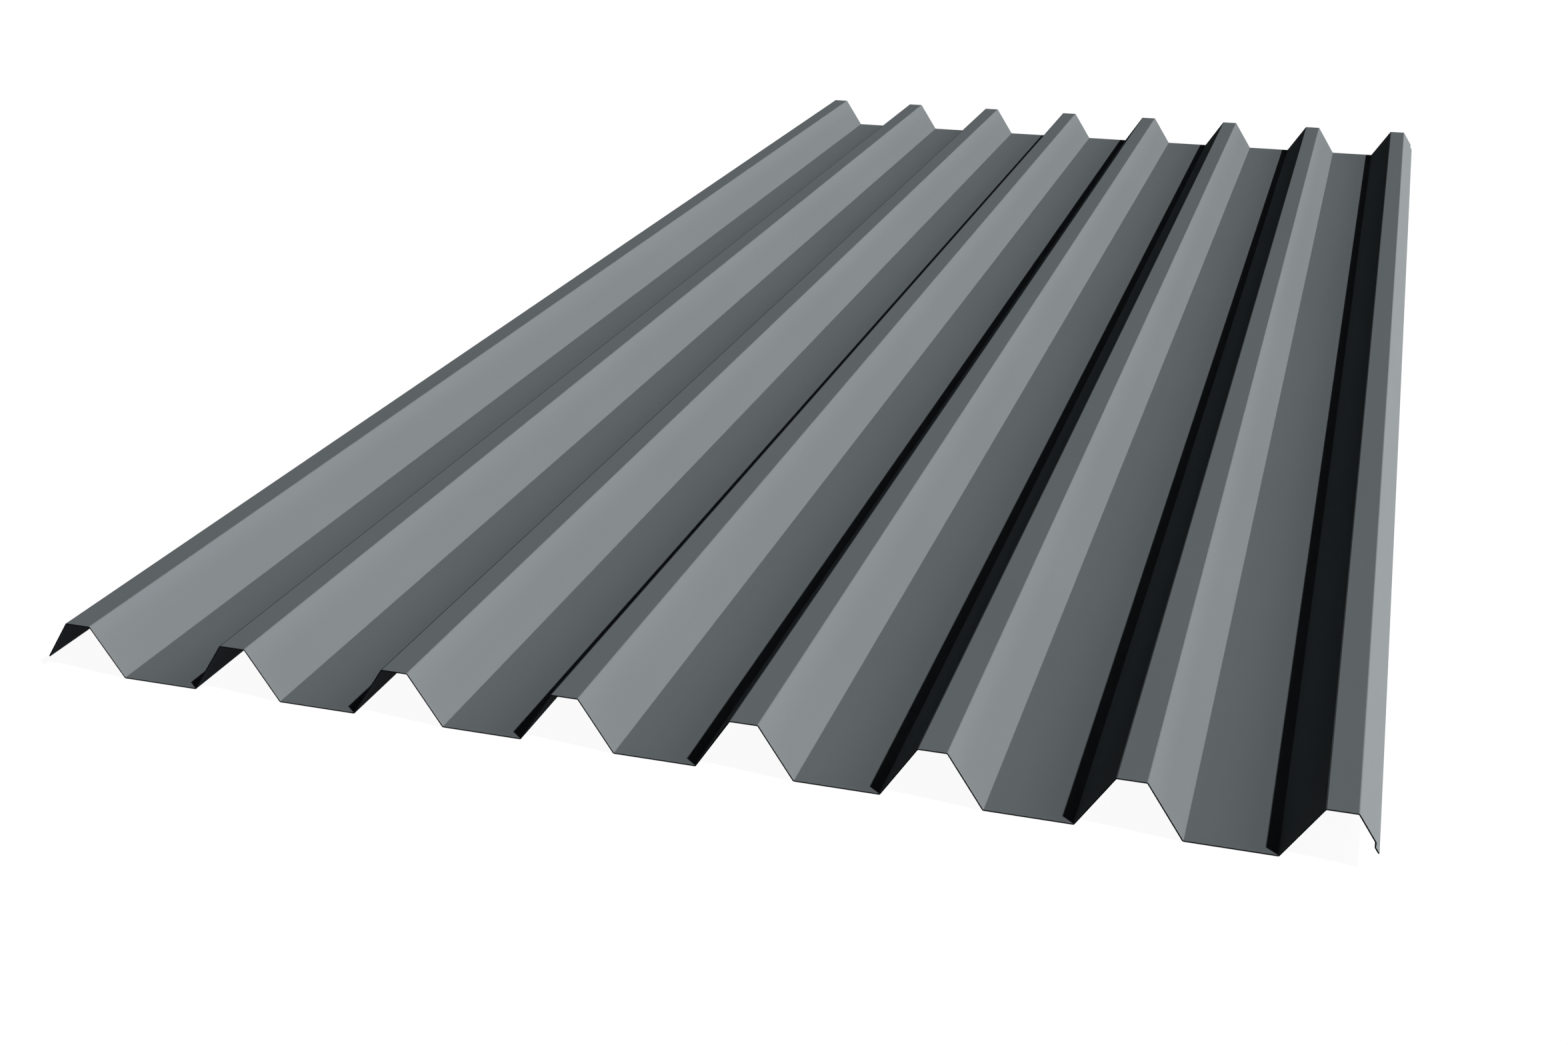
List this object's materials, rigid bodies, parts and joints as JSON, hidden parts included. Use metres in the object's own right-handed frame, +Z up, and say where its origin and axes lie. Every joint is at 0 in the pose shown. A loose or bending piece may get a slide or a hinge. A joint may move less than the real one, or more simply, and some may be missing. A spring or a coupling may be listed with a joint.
{
  "type": "profiled metal roofing sheet",
  "caption": "Trapezoidal profiled sheet of coated steel with narrow ribs and wide pans, a plain overlap edge and a stepped underlap edge, for roofs and walls.",
  "frame": {"origin": "middle of the sheet's footprint, on the plane that its pans rest on", "axes": "+X across the sheet towards the stepped underlap edge, +Y along the ribs, +Z up, away from the roof"},
  "size_m": [0.901, 2, 0.0367],
  "materials": {
    "coated_steel": "matt grey polyester coating over galvanised steel, thin dark backing coat beneath"
  },
  "bodies": {
    "root": {"roofing_sheet": "coated_steel"}
  },
  "joints": []
}
